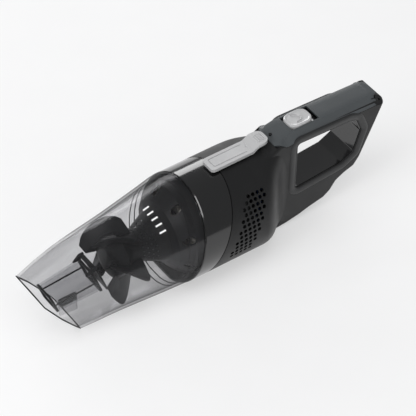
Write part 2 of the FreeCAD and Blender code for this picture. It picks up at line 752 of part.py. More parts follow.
def make_latch_bracket():
    bracket = box(latch_pivot_x - 5, latch_pivot_x + 5, -7.5, 7.5, 36.0, barrel_r - wall - 0.7)
    bracket = bracket.cut(box(latch_pivot_x - 6, latch_pivot_x + 6, -4.6, 4.6, 37.6, 60))
    return bracket.cut(rod_y(latch_pin_r, -60, 60, latch_pivot_x, latch_pivot_z))


def make_latch_pin():
    return rod_y(latch_pin_r, -7.5, 7.5, latch_pivot_x, latch_pivot_z)


def make_latch_spring():
    base = barrel_r + 0.25
    height = latch_high_z - latch_thickness - base - 0.1
    rings = []
    count = 4
    wire = 0.5
    for i in range(count):
        z = base + wire + (height - 2 * wire) * i / (count - 1)
        rings.append(Part.makeTorus(3.0, wire, Vector(84.5, 0, z), Vector(0, 0, 1)))
    spine = rings[0]
    for ring in rings[1:]:
        spine = spine.fuse(ring)
    for i in range(count - 1):
        z = base + wire + (height - 2 * wire) * i / (count - 1)
        turn = pi * i
        spine = spine.fuse(rod_z(wire * 0.9, z, z + (height - 2 * wire) / (count - 1),
                                 84.5 + 3.0 * cos(turn), 3.0 * sin(turn)))
    return spine


def make_slider():
    top = 56.8 + slider_height
    pad = box(slider_x - slider_half_l, slider_x + slider_half_l, -slider_half_w, slider_half_w, 53.6, top)
    corners = [e for e in pad.Edges if e.BoundBox.ZLength > 2]
    pad = pad.makeFillet(6.0, corners)
    rim = [e for e in pad.Edges if e.BoundBox.ZMin > top - 0.01]
    pad = pad.makeFillet(1.2, rim)
    ridge = box(slider_x - 2.0, slider_x + 2.0, -5.0, 5.0, top - 0.2, top + 1.2)
    stem = box(slider_x - 3.6, slider_x + 0.4, -1.8, 1.8, 49.8, 53.8)
    return pad.fuse(ridge).fuse(stem)


parts = {
    "dust_cup_shell": make_cup_shell,
    "cup_collar": make_collar,
    "inlet_duct": make_inlet_duct,
    "inlet_flap": make_flap,
    "inlet_flap_pin": make_flap_pin,
    "separator_cone": make_separator_cone,
    "filter_cage": make_filter_cage,
    "swirl_blades": make_swirl_blades,
    "pleated_filter": make_pleated_filter,
    "filter_frame": make_filter_frame,
    "filter_seal": make_filter_seal,
    "handle_panel": make_handle_panel,
    "grip_liner": make_grip_liner,
    "motor_cover": make_motor_cover,
    "motor_cover_seal": make_cover_seal,
    "fan_shroud": make_fan_shroud,
    "fan_impeller": make_impeller,
    "motor_can": make_motor_can,
    "motor_end_cap": make_motor_cap,
    "motor_bearings": make_bearings,
    "motor_magnets": make_magnets,
    "motor_armature": make_armature,
    "motor_shaft": make_motor_shaft,
    "motor_mount": make_motor_mount,
    "battery_cells": make_cells,
    "battery_tray": make_cell_holder,
    "battery_links": make_cell_links,
    "circuit_board": make_circuit_board,
    "indicator_lens": make_led,
    "slide_switch": make_switch,
    "charge_jack": make_charge_jack,
    "case_screws": make_screws,
    "latch_lever": make_latch,
    "latch_bracket": make_latch_bracket,
    "latch_pin": make_latch_pin,
    "latch_spring": make_latch_spring,
    "power_slider": make_slider,
}

shells = body_shells()
shapes = {
    "body_shell_right": shells.common(box(-far, far, -far, 0, -far, far)),
    "body_shell_left": shells.common(box(-far, far, 0, far, -far, far)),
}
for part_name, make in parts.items():
    shapes[part_name] = make()

# the origin is the bottom centre of the box around everything
tail_x = shapes["body_shell_left"].optimalBoundingBox().XMax
to_origin = Vector(-(nose_x + tail_x) / 2, 0, -underside_z)
print("moved by", round(to_origin.x, 3), to_origin.y, to_origin.z)

os.makedirs("parts", exist_ok=True)
for name, shape in shapes.items():
    shape.translate(to_origin)
    solids = shape.Solids
    print(name, "solids", len(solids), "valid", shape.isValid(), "volume", round(shape.Volume, 1))
    kept = solids[0] if len(solids) == 1 else Part.makeCompound(solids)
    kept.exportStep("parts/" + name + ".step")
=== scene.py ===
from math import atan2, cos, pi, radians, sin, sqrt, tan

import bmesh
import bpy
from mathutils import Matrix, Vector


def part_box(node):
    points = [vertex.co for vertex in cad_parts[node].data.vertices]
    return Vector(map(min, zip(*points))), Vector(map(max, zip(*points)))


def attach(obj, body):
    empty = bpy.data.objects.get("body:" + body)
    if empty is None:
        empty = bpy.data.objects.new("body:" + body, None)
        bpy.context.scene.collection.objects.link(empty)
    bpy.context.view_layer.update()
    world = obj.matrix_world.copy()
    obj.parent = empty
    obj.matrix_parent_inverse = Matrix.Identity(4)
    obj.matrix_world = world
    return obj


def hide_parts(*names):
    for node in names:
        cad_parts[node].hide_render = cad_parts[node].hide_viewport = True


# Sizes below are millimetres along the barrel's axis: x from nozzle to handle, z up from the axis.
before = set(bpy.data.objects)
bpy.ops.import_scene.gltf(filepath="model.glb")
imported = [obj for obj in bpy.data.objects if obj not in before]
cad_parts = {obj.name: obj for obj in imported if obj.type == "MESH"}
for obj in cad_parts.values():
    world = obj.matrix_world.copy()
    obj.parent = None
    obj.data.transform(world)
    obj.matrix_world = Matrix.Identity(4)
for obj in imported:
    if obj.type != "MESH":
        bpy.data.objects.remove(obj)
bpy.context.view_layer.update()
mm = 0.001
shaftLow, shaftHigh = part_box("motor_shaft")
axisX = shaftLow.x - 19.9 * mm
axisZ = (shaftLow.z + shaftHigh.z) / 2


def at(x, y, z):
    return Vector((axisX + x * mm, y * mm, axisZ + z * mm))


def mix(a, b, k):
    return a + (b - a) * k


def eased(k):
    k = min(max(k, 0.0), 1.0)
    return k * k * (3 - 2 * k)


def along(points, x):
    # the height of a chain of points at this x
    for (xa, za), (xb, zb) in zip(points, points[1:]):
        if x <= xb:
            return mix(za, zb, (x - xa) / (xb - xa))
    return points[-1][1]


# studio
cameraView = {"aim": (31.19, -2.2, 4.78), "azimuth": -35.0, "elevation": 44.0, "distance": 1.992,
              "lens": 200.0, "sensor": 36.0, "clip": 50.0}
centre = (0, 0, 0.05)
# each light: place, what it faces, size, watts, whether surfaces mirror it
studioLights = {
    "softBoxAbove": ((-0.25, -0.35, 1.5), centre, (1.3, 1.0), 11.0, False),
    "softBoxBehind": ((0.35, 1.25, 0.55), centre, (1.6, 0.45), 9.0, True),
    "softBoxLeft": ((-1.3, -0.1, 0.8), centre, (0.7, 0.9), 10.0, True),
    "softBoxFront": ((0.7, -1.3, 0.7), (0.05, 0, 0.05), (0.9, 0.7), 5.0, False),
}
roomLook = {"tint": (0.86, 0.87, 0.88), "strength": 0.34, "backdrop": (0.95, 0.95, 0.955),
            "backdropStrength": 0.97}


def addCamera(view):
    az, el = radians(view["azimuth"]), radians(view["elevation"])
    back = Vector((sin(az) * cos(el), -cos(az) * cos(el), sin(el)))
    data = bpy.data.cameras.new("studioCamera")
    data.lens = view["lens"]
    data.sensor_width = view["sensor"]
    data.clip_end = view["clip"]
    camera = bpy.data.objects.new("studioCamera", data)
    bpy.context.scene.collection.objects.link(camera)
    camera.location = at(*view["aim"]) + back * view["distance"]
    camera.rotation_euler = back.to_track_quat("Z", "Y").to_euler()
    bpy.context.scene.camera = camera
    return camera


def addAreaLight(name, place, aim, size, power, mirrored):
    data = bpy.data.lights.new(name, "AREA")
    data.shape = "RECTANGLE"
    data.size, data.size_y = size
    data.energy = power
    lamp = bpy.data.objects.new(name, data)
    bpy.context.scene.collection.objects.link(lamp)
    lamp.visible_glossy = mirrored
    lamp.location = place
    lamp.rotation_euler = (Vector(place) - Vector(aim)).to_track_quat("Z", "Y").to_euler()
    return lamp


addCamera(cameraView)
for name, settings in studioLights.items():
    addAreaLight(name, *settings)

world = bpy.data.worlds.new("studioRoom")
world.use_nodes = True
roomLight = world.node_tree.nodes["Background"]
roomLight.inputs["Color"].default_value = (*roomLook["tint"], 1)
roomLight.inputs["Strength"].default_value = roomLook["strength"]
backdrop = world.node_tree.nodes.new("ShaderNodeBackground")  # what the camera sees past the floor
backdrop.inputs["Color"].default_value = (*roomLook["backdrop"], 1)
backdrop.inputs["Strength"].default_value = roomLook["backdropStrength"]
rays = world.node_tree.nodes.new("ShaderNodeLightPath")
choose = world.node_tree.nodes.new("ShaderNodeMixShader")
world.node_tree.links.new(rays.outputs["Is Camera Ray"], choose.inputs[0])
world.node_tree.links.new(roomLight.outputs["Background"], choose.inputs[1])
world.node_tree.links.new(backdrop.outputs["Background"], choose.inputs[2])
world.node_tree.links.new(choose.outputs["Shader"], world.node_tree.nodes["World Output"].inputs["Surface"])
bpy.context.scene.world = world
bpy.context.scene.view_settings.view_transform = "Standard"
print("studio ready")


# finishes
class Nodes:
    # a thin helper that adds and joins the nodes of one material
    def __init__(self, name):
        self.material = bpy.data.materials.new(name)
        self.material.use_nodes = True
        self.tree = self.material.node_tree
        self.shader = self.tree.nodes["Principled BSDF"]
        self.output = self.tree.nodes["Material Output"]
        self.coords = self.tree.nodes.new("ShaderNodeTexCoord")

    def add(self, kind, **settings):
        node = self.tree.nodes.new(kind)
        for key, value in settings.items():
            if key in node.inputs:
                node.inputs[key].default_value = value
            else:
                setattr(node, key, value)
        return node

    def join(self, source, target):
        self.tree.links.new(source, target)

    def noise(self, scale, detail=3.0, stretch=(1, 1, 1)):
        mapping = self.add("ShaderNodeMapping")
        mapping.inputs["Scale"].default_value = stretch
        texture = self.add("ShaderNodeTexNoise")
        texture.inputs["Scale"].default_value = scale
        texture.inputs["Detail"].default_value = detail
        self.join(self.coords.outputs["Object"], mapping.inputs["Vector"])
        self.join(mapping.outputs["Vector"], texture.inputs["Vector"])
        return texture.outputs["Fac"]

    def ranged(self, source, low, high, fromLow=0.3, fromHigh=0.7):
        node = self.add("ShaderNodeMapRange")
        node.inputs["From Min"].default_value = fromLow
        node.inputs["From Max"].default_value = fromHigh
        node.inputs["To Min"].default_value = low
        node.inputs["To Max"].default_value = high
        self.join(source, node.inputs["Value"])
        return node.outputs["Result"]

    def blended(self, source, first, second):
        node = self.add("ShaderNodeMix", data_type="RGBA")
        node.inputs[6].default_value = (*first, 1)
        node.inputs[7].default_value = (*second, 1)
        self.join(source, node.inputs[0])
        return node.outputs[2]

    def bump(self, source, strength, distance):
        node = self.add("ShaderNodeBump")
        node.inputs["Strength"].default_value = strength
        node.inputs["Distance"].default_value = distance
        self.join(source, node.inputs["Height"])
        return node.outputs["Normal"]


def mouldedPlastic(name, colour, variation=0.12, roughness=(0.4, 0.5), grain=1400.0, depth=0.00002,
                   strength=0.25, coat=0.0, metallic=0.0, specular=0.5):
    n = Nodes(name)
    tone = n.noise(22.0, 4.0)
    dark = tuple(c * (1 - variation) for c in colour)
    light = tuple(min(c * (1 + variation), 1.0) for c in colour)
    n.join(n.blended(n.ranged(tone, 0, 1), dark, light), n.shader.inputs["Base Color"])
    n.join(n.ranged(n.noise(60.0, 5.0), *roughness), n.shader.inputs["Roughness"])
    n.join(n.bump(n.noise(grain, 2.0), strength, depth), n.shader.inputs["Normal"])
    n.shader.inputs["Metallic"].default_value = metallic
    n.shader.inputs["Specular IOR Level"].default_value = specular
    n.shader.inputs["Coat Weight"].default_value = coat
    n.shader.inputs["Coat Roughness"].default_value = 0.06
    return n.material


def clearPlastic(name, faceTint, edgeTint, gloss=0.06, edgePower=0.35):
    # the wall passes light, darker where it is seen edge on, with a gloss on top
    n = Nodes(name)
    n.tree.nodes.remove(n.shader)
    facing = n.add("ShaderNodeLayerWeight")
    facing.inputs["Blend"].default_value = edgePower
    soften = n.add("ShaderNodeMath", operation="POWER")  # keeps the dark to the very edge
    soften.inputs[1].default_value = 2.4
    n.join(facing.outputs["Facing"], soften.inputs[0])
    cloud = n.ranged(n.noise(9.0, 3.0), 0.0, 0.10)
    total = n.add("ShaderNodeMath", operation="ADD", use_clamp=True)
    n.join(soften.outputs["Value"], total.inputs[0])
    n.join(cloud, total.inputs[1])
    tint = n.blended(total.outputs["Value"], faceTint, edgeTint)
    through = n.add("ShaderNodeBsdfTransparent")
    n.join(tint, through.inputs["Color"])
    shine = n.add("ShaderNodeBsdfGlossy")
    shine.inputs["Color"].default_value = (0.9, 0.9, 0.92, 1)
    n.join(n.ranged(n.noise(35.0, 4.0), gloss * 0.7, gloss * 1.3), shine.inputs["Roughness"])
    grazing = n.add("ShaderNodeLayerWeight")
    grazing.inputs["Blend"].default_value = 0.5
    steep = n.add("ShaderNodeMath", operation="POWER")
    steep.inputs[1].default_value = 4.5
    n.join(grazing.outputs["Facing"], steep.inputs[0])
    both = n.add("ShaderNodeMixShader")
    n.join(n.ranged(steep.outputs["Value"], 0.028, 0.14, 0.0, 1.0), both.inputs[0])
    n.join(through.outputs["BSDF"], both.inputs[1])
    n.join(shine.outputs["BSDF"], both.inputs[2])
    n.join(both.outputs["Shader"], n.output.inputs["Surface"])
    return n.material


def tintedPlastic(name, colour, opacity, roughness=(0.34, 0.44)):
    # smoked plastic that lets a little light through
    n = Nodes(name)
    n.join(n.blended(n.ranged(n.noise(25.0, 4.0), 0, 1), tuple(c * 0.85 for c in colour), colour),
           n.shader.inputs["Base Color"])
    n.join(n.ranged(n.noise(50.0, 4.0), *roughness), n.shader.inputs["Roughness"])
    n.shader.inputs["Specular IOR Level"].default_value = 0.2
    through = n.add("ShaderNodeBsdfTransparent")
    through.inputs["Color"].default_value = (0.42, 0.42, 0.43, 1)
    both = n.add("ShaderNodeMixShader")
    both.inputs[0].default_value = opacity
    n.join(through.outputs["BSDF"], both.inputs[1])
    n.join(n.shader.outputs["BSDF"], both.inputs[2])
    n.join(both.outputs["Shader"], n.output.inputs["Surface"])
    return n.material


def brushedMetal(name, colour, roughness=(0.25, 0.4), stretch=(1, 14, 14)):
    n = Nodes(name)
    n.join(n.blended(n.ranged(n.noise(300.0, 3.0, stretch), 0, 1), tuple(c * 0.85 for c in colour), colour),
           n.shader.inputs["Base Color"])
    n.join(n.ranged(n.noise(260.0, 3.0, stretch), *roughness), n.shader.inputs["Roughness"])
    n.shader.inputs["Metallic"].default_value = 1.0
    return n.material


finish = {
    "body": mouldedPlastic("bodyMattBlack", (0.0095, 0.0096, 0.0100), 0.1, (0.42, 0.5), 1500.0,
                           0.00003, 0.3, specular=0.35),
    "band": mouldedPlastic("loopSatinBlack", (0.021, 0.0214, 0.022), 0.08, (0.36, 0.44), 1500.0,
                           0.00002, 0.25, specular=0.4),
    "collar": mouldedPlastic("collarGlossBlack", (0.005, 0.005, 0.0053), 0.1, (0.1, 0.15), 500.0,
                             0.00001, 0.05, coat=0.6),
    "panel": mouldedPlastic("panelSatinGrey", (0.057, 0.063, 0.067), 0.06, (0.3, 0.38), 1600.0,
                            0.00002, 0.2),
    "silver": mouldedPlastic("buttonSilver", (0.56, 0.56, 0.565), 0.05, (0.28, 0.36), 1800.0, 0.00002, 0.2,
                             metallic=0.35),
    "liner": mouldedPlastic("linerGlossBlack", (0.009, 0.009, 0.0095), 0.1, (0.08, 0.13), 400.0,
                            0.00001, 0.04, coat=0.7),
    "rubber": mouldedPlastic("sealRubber", (0.02, 0.02, 0.021), 0.15, (0.6, 0.75), 900.0, 0.00005, 0.4),
    "clear": clearPlastic("cupClearSmoke", (0.945, 0.945, 0.95), (0.02, 0.02, 0.021)),
    "ductClear": clearPlastic("ductClearSmoke", (0.95, 0.95, 0.955), (0.2, 0.2, 0.205)),
    "smoke": tintedPlastic("separatorSmoke", (0.014, 0.014, 0.015), 0.88),
    "smokeDark": tintedPlastic("hubSmoke", (0.009, 0.009, 0.0095), 0.97),
    "paper": mouldedPlastic("filterPaper", (0.62, 0.6, 0.55), 0.1, (0.8, 0.95), 700.0, 0.00008, 0.5),
    "steel": brushedMetal("turnedSteel", (0.55, 0.56, 0.57)),
    "copper": brushedMetal("copperWinding", (0.75, 0.38, 0.2)),
    "magnet": mouldedPlastic("magnetGrey", (0.09, 0.09, 0.095), 0.2, (0.55, 0.7), 500.0, 0.00005, 0.4),
    "cell": mouldedPlastic("cellWrapBlue", (0.03, 0.09, 0.3), 0.1, (0.3, 0.4), 300.0, 0.00002, 0.15),
    "inner": mouldedPlastic("innerGreyPlastic", (0.03, 0.03, 0.031), 0.1, (0.45, 0.6), 900.0, 0.00004, 0.3),
    "board": mouldedPlastic("circuitBoardGreen", (0.01, 0.09, 0.035), 0.25, (0.35, 0.5), 260.0,
                            0.00004, 0.4),
    "lens": mouldedPlastic("lensDark", (0.004, 0.004, 0.005), 0.2, (0.1, 0.2), 500.0, 0.00001, 0.1),
    "mark": mouldedPlastic("whiteMark", (0.85, 0.85, 0.85), 0.04, (0.45, 0.55), 900.0, 0.00001, 0.1),
}

nodeFinish = {
    "body_shell_right": "body", "body_shell_left": "body", "dust_cup_shell": "clear", "cup_collar": "collar",
    "inlet_duct": "ductClear", "inlet_flap": "smoke", "inlet_flap_pin": "inner",
    "separator_cone": "smokeDark",
    "filter_cage": "smoke", "swirl_blades": "smoke", "pleated_filter": "paper", "filter_frame": "inner",
    "filter_seal": "rubber", "handle_panel": "panel", "grip_liner": "liner", "motor_cover": "inner",
    "motor_cover_seal": "rubber", "fan_shroud": "inner", "fan_impeller": "inner", "motor_can": "steel",
    "motor_end_cap": "inner", "motor_bearings": "steel", "motor_magnets": "magnet",
    "motor_armature": "copper",
    "motor_shaft": "steel", "motor_mount": "inner", "battery_cells": "cell", "battery_tray": "inner",
    "battery_links": "steel", "circuit_board": "board", "indicator_lens": "lens", "slide_switch": "inner",
    "charge_jack": "steel", "case_screws": "steel", "latch_lever": "silver", "latch_bracket": "inner",
    "latch_pin": "steel", "latch_spring": "steel", "power_slider": "silver",
}
for nodeName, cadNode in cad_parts.items():
    cadNode.data.materials.clear()
    cadNode.data.materials.append(finish[nodeFinish[nodeName]])
print("finishes ready")


# mesh tools
def newPiece(name, points, faces, material, body, sharpAngle=35, bevel=0.0):
    mesh = bpy.data.meshes.new(name)
    mesh.from_pydata([at(*p) for p in points], [], faces)
    work = bmesh.new()
    work.from_mesh(mesh)
    bmesh.ops.remove_doubles(work, verts=work.verts, dist=1e-7)
    bmesh.ops.recalc_face_normals(work, faces=work.faces)
    work.to_mesh(mesh)
    work.free()
    mesh.materials.append(material)
    mesh.shade_smooth()
    mesh.set_sharp_from_angle(angle=radians(sharpAngle))
    piece = bpy.data.objects.new(name, mesh)
    bpy.context.scene.collection.objects.link(piece)
    if bevel:
        softEdges(piece, bevel, sharpAngle)
    if body:
        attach(piece, body)
    return piece


def softEdges(piece, width, angle=30, steps=2):
    edge = piece.modifiers.new("softEdges", "BEVEL")
    edge.width = width * mm
    edge.segments = steps
    edge.limit_method = "ANGLE"
    edge.angle_limit = radians(angle)
    edge.harden_normals = True


def smoothed(piece, angle):
    piece.data.shade_smooth()
    piece.data.set_sharp_from_angle(angle=radians(angle))


def ringFaces(rings, count, closed=False, caps=False):
    faces = []
    last = rings if closed else rings - 1
    for i in range(last):
        a, b = i * count, (i + 1) % rings * count
        for j in range(count):
            k = (j + 1) % count
            faces.append((a + j, a + k, b + k, b + j))
    if caps:
        faces.append(tuple(range(count)))
        faces.append(tuple(range((rings - 1) * count, rings * count)))
    return faces


def gridFaces(rows, columns):
    return [(i * columns + j, i * columns + j + 1, (i + 1) * columns + j + 1, (i + 1) * columns + j)
            for i in range(rows - 1) for j in range(columns - 1)]


def slabFaces(rows, columns):
    # two grids of points, one behind the other, closed along their rim
    count = rows * columns
    faces = gridFaces(rows, columns)
    faces += [tuple(count + v for v in reversed(f)) for f in gridFaces(rows, columns)]
    rim = list(range(columns)) + [i * columns + columns - 1 for i in range(1, rows)]
    rim += [(rows - 1) * columns + j for j in range(columns - 2, -1, -1)]
    rim += [i * columns for i in range(rows - 2, 0, -1)]
    return faces + [(a, a + count, b + count, b) for a, b in zip(rim, rim[1:] + rim[:1])]


def prism(name, outline, span, axis, material, body, sharpAngle=35, bevel=0.0):
    # an outline given in the two other axes, drawn out along this one
    points = []
    for depth in span:
        for a, b in outline:
            points.append({"x": (depth, a, b), "y": (a, depth, b), "z": (a, b, depth)}[axis])
    return newPiece(name, points, ringFaces(2, len(outline), caps=True), material, body, sharpAngle, bevel)


def solidCopy(node):
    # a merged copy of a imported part, ready for a modifier
    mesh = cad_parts[node].data.copy()
    work = bmesh.new()
    work.from_mesh(mesh)
    bmesh.ops.remove_doubles(work, verts=work.verts, dist=1e-6)
    work.to_mesh(mesh)
    work.free()
    if "custom_normal" in mesh.attributes:
        mesh.attributes.remove(mesh.attributes["custom_normal"])
    piece = bpy.data.objects.new(node + "_finished", mesh)
    bpy.context.scene.collection.objects.link(piece)
    return piece


def applied(piece):
    # the evaluated mesh in place of the modifiers
    bpy.context.view_layer.update()
    result = bpy.data.meshes.new_from_object(piece.evaluated_get(bpy.context.evaluated_depsgraph_get()))
    piece.modifiers.clear()
    piece.data = result
    return piece


def carve(piece, cutters):
    for cutter in cutters:
        trim = piece.modifiers.new("carve", "BOOLEAN")
        trim.operation = "DIFFERENCE"
        trim.object = cutter
        trim.solver = "EXACT"
    applied(piece)
    for cutter in cutters:
        bpy.data.objects.remove(cutter)


# clear cup and collar
barrel = {"radius": 48.0, "underside": -46.0, "wall": 2.2, "seamX": -5.0, "seamLean": 0.26,
          "bodySeamX": 18.0, "bodySeamLean": 0.47}
nozzle = {"frontX": -148.0, "lean": 0.74, "topZ": 5.0, "middleZ": -12.0, "bottomZ": -40.5, "halfWidth": 25.0,
          "topHalf": 22.8, "kneeZ": -2.5, "footHalf": 18.6}


def lineRadius(angle, a, b):
    # distance from the centre to the line through a and b, in this direction
    ey, ez = b[0] - a[0], b[1] - a[1]
    spread = cos(angle) * ez - sin(angle) * ey
    return (a[0] * ez - a[1] * ey) / spread if abs(spread) > 1e-9 else 1e9


def cupRadius(angle, x):
    k = min(max(x / nozzle["frontX"], 0.0), 1.1)
    middle = mix(0, nozzle["middleZ"], k)
    halfWidth = mix(barrel["radius"], nozzle["halfWidth"], k ** 1.12)
    up = mix(barrel["radius"], nozzle["topZ"], k) - middle
    down = middle - mix(barrel["underside"] - 1.5, nozzle["bottomZ"], k)
    dy, dz = abs(cos(angle)), sin(angle)
    height, power = (up, mix(2.0, 5.0, k ** 2)) if dz >= 0 else (down, mix(2.0, 2.9, k))
    smooth = ((dy / halfWidth) ** power + (abs(dz) / height) ** power) ** (-1 / power)
    # flat-sided mouth that fades into the round barrel
    corners = [(0.0, up)] + [(y * halfWidth / nozzle["halfWidth"], z) for y, z in
                             ((nozzle["topHalf"], up), (nozzle["halfWidth"], nozzle["kneeZ"]),
                              (nozzle["footHalf"], -down))] + [(0.0, -down)]
    turn = atan2(dz, dy)
    flat = smooth
    for a, b in zip(corners, corners[1:]):
        if atan2(b[1], b[0]) <= turn <= atan2(a[1], a[0]):
            flat = lineRadius(turn, a, b)
    return middle, mix(smooth, min(flat, smooth * 1.15), eased((k - 0.35) / 0.65))


def cupPoint(angle, inset, frontX, frontLean, rearX, rearLean, k):
    z = 0.0
    for _ in range(8):
        x = mix(frontX + frontLean * z, rearX + rearLean * z, k)
        middle, r = cupRadius(angle, x)
        y, z = (r - inset) * cos(angle), middle + (r - inset) * sin(angle)
        z = max(z, barrel["underside"] + inset)
    return x, y, z


def cupWall(inset, extraRear, ringCount, around):
    frontX = nozzle["frontX"] + nozzle["lean"] * nozzle["topZ"]
    rings = []
    for i in range(ringCount):
        for j in range(around):
            angle = -pi / 2 + 2 * pi * (j + 0.5) / around
            angle = atan2(sin(angle), cos(angle))
            rings.append(cupPoint(angle, inset, frontX, -nozzle["lean"], barrel["seamX"] + extraRear,
                                  barrel["seamLean"], i / (ringCount - 1)))
    return rings


around = 144
outer = cupWall(0.0, -0.25, 34, around)
inner = cupWall(barrel["wall"], -0.25, 34, around)
innerRings = [inner[i * around:(i + 1) * around] for i in range(34)]
cupPoints = outer + [p for ring in reversed(innerRings) for p in ring]
lipOuter, lipInner = cupWall(-0.12, -0.25, 150, around), cupWall(barrel["wall"] + 0.12, -0.25, 150, around)
lipPoints = lipOuter[:2 * around] + lipInner[around:2 * around] + lipInner[:around]
mouthEdge = newPiece("mouthEdge", lipPoints, ringFaces(4, around, closed=True), finish["smoke"], "dust_cup",
                     40)
cup = newPiece("clearCup", cupPoints, ringFaces(68, around, closed=True), finish["clear"], "dust_cup", 30,
               bevel=0.5)
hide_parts("dust_cup_shell")


def barrelRing(r, seamX, lean, flat):
    ring = []
    for j in range(around):
        angle = 2 * pi * (j + 0.5) / around
        y, z = r * cos(angle), max(r * sin(angle), flat)
        ring.append((seamX + lean * z, y, z))
    return ring


def makeCollar():
    front, rear = (barrel["seamX"], barrel["seamLean"]), (barrel["bodySeamX"] - 0.3, barrel["bodySeamLean"])
    r, flat, wall = barrel["radius"], barrel["underside"], 2.4
    steps = [(r - wall, front, 0.0, wall), (r - 0.7, front, 0.0, 0.7), (r, front, 0.7, 0.0),
             (r, rear, -0.7, 0.0), (r - 0.7, rear, 0.0, 0.7), (r - wall, rear, 0.0, wall)]
    points = []
    for radius, seam, shift, lift in steps:
        points += barrelRing(radius, seam[0] + shift, seam[1], flat + lift)
    return newPiece("glossCollar", points, ringFaces(len(steps), around, closed=True), finish["collar"],
                    "dust_cup", 30)


rimArcs = {"x": (-13.0, -18.5), "width": 0.8, "depth": 0.5}


def rimArc(x):
    # a thin raised ring on the inside of the cup
    rings = []
    for shift, inset in ((0.0, 0.1), (0.0, rimArcs["depth"]), (rimArcs["width"], rimArcs["depth"]),
                         (rimArcs["width"], 0.1)):
        for j in range(around):
            turn = 2 * pi * (j + 0.5) / around
            rings.append(cupPoint(atan2(sin(turn), cos(turn)), barrel["wall"] + inset, x + shift,
                                  barrel["seamLean"], x + shift, barrel["seamLean"], 0.0))
    return newPiece("cupRimArc", rings, ringFaces(4, around, closed=True), finish["smokeDark"],
                    "dust_cup", 40)


for x in rimArcs["x"]:
    rimArc(x)

collar = makeCollar()
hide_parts("cup_collar")
print("cup and collar ready")

# things that repeat
def scatterTree(treeName, sizes, makeShape):
    # a shape set on every point, turned so that its Z follows the point's own direction
    tree = bpy.data.node_groups.new(treeName, "GeometryNodeTree")
    tree.interface.new_socket("Geometry", in_out="INPUT", socket_type="NodeSocketGeometry")
    for label, value in sizes.items():
        socket = tree.interface.new_socket(label, in_out="INPUT", socket_type="NodeSocketFloat")
        socket.default_value = value
    tree.interface.new_socket("Finish", in_out="INPUT", socket_type="NodeSocketMaterial")
    tree.interface.new_socket("Geometry", in_out="OUTPUT", socket_type="NodeSocketGeometry")
    given = tree.nodes.new("NodeGroupInput")
    result = tree.nodes.new("NodeGroupOutput")
    facing = tree.nodes.new("GeometryNodeInputNamedAttribute")
    facing.data_type = "FLOAT_VECTOR"
    facing.inputs["Name"].default_value = "facing"
    along = tree.nodes.new("GeometryNodeInputNamedAttribute")
    along.data_type = "FLOAT_VECTOR"
    along.inputs["Name"].default_value = "along"
    turnZ = tree.nodes.new("FunctionNodeAlignRotationToVector")
    turnZ.axis = "Z"
    turnX = tree.nodes.new("FunctionNodeAlignRotationToVector")
    turnX.axis = "X"
    turnX.pivot_axis = "Z"
    place = tree.nodes.new("GeometryNodeInstanceOnPoints")
    realize = tree.nodes.new("GeometryNodeRealizeInstances")
    paint = tree.nodes.new("GeometryNodeSetMaterial")
    join = tree.links.new
    join(facing.outputs["Attribute"], turnZ.inputs["Vector"])
    join(turnZ.outputs["Rotation"], turnX.inputs["Rotation"])
    join(along.outputs["Attribute"], turnX.inputs["Vector"])
    join(given.outputs["Geometry"], place.inputs["Points"])
    join(makeShape(tree, given), place.inputs["Instance"])
    join(turnX.outputs["Rotation"], place.inputs["Rotation"])
    join(place.outputs["Instances"], realize.inputs["Geometry"])
    join(realize.outputs["Geometry"], paint.inputs["Geometry"])
    join(given.outputs["Finish"], paint.inputs["Material"])
    join(paint.outputs["Geometry"], result.inputs["Geometry"])
    return tree


def scattered(name, tree, places, sizes, material, body, sharpAngle=40, bevel=0.0):
    # places are (point, facing, along), in the barrel's millimetres
    mesh = bpy.data.meshes.new(name)
    mesh.from_pydata([at(*p[0]) for p in places], [], [])
    for label, index in (("facing", 1), ("along", 2)):
        attribute = mesh.attributes.new(label, "FLOAT_VECTOR", "POINT")
        for item, p in zip(attribute.data, places):
            item.vector = Vector(p[index]).normalized()
    piece = bpy.data.objects.new(name, mesh)
    bpy.context.scene.collection.objects.link(piece)
    repeat = piece.modifiers.new("repeat", "NODES")
    repeat.node_group = tree
    sockets = {item.name: item.identifier for item in tree.interface.items_tree if item.in_out == "INPUT"}
    for label, value in sizes.items():
        repeat[sockets[label]] = value * mm
    repeat[sockets["Finish"]] = material
    applied(piece)
    smoothed(piece, sharpAngle)
    if bevel:
        softEdges(piece, bevel)
    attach(piece, body)
    return piece


def diskShape(tree, given):
    disk = tree.nodes.new("GeometryNodeMeshCylinder")
    disk.inputs["Vertices"].default_value = 16
    tree.links.new(given.outputs["Radius"], disk.inputs["Radius"])
    tree.links.new(given.outputs["Depth"], disk.inputs["Depth"])
    return disk.outputs["Mesh"]


def barShape(tree, given):
    bar = tree.nodes.new("GeometryNodeMeshCube")
    size = tree.nodes.new("ShaderNodeCombineXYZ")
    for axis, label in zip("XYZ", ("Length", "Width", "Depth")):
        tree.links.new(given.outputs[label], size.inputs[axis])
    tree.links.new(size.outputs["Vector"], bar.inputs["Size"])
    return bar.outputs["Mesh"]


